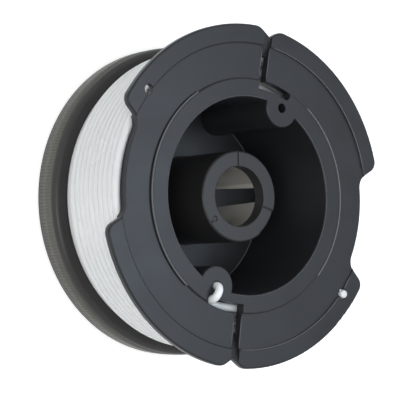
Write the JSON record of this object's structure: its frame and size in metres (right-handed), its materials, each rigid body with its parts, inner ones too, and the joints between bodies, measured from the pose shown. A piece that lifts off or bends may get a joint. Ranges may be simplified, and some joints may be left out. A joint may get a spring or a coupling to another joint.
{
  "type": "string trimmer line spool",
  "caption": "Flanged plastic spool with a bored hub, wound with clear trimmer line; slotted front flange with ears that hold the line's end.",
  "frame": {"origin": "centre of the rear rim's back plane, on the spool's axis", "axes": "+Z along the spool's axis towards the slotted front flange; +X through the middle of the hub's tapered slot; +Y completes a right-handed frame"},
  "size_m": [0.0692, 0.07, 0.0309],
  "materials": {
    "front_moulding": "moulded, slightly glossy",
    "rear_moulding": "moulded, fine ribs on the rim",
    "nylon_line": "clear extruded nylon"
  },
  "bodies": {
    "root": {"flanged_drum": "front_moulding", "hub_base": "rear_moulding", "line_inner_layers": "nylon_line", "line_outer_layer": "nylon_line", "line_tied_end": "nylon_line"}
  },
  "joints": []
}
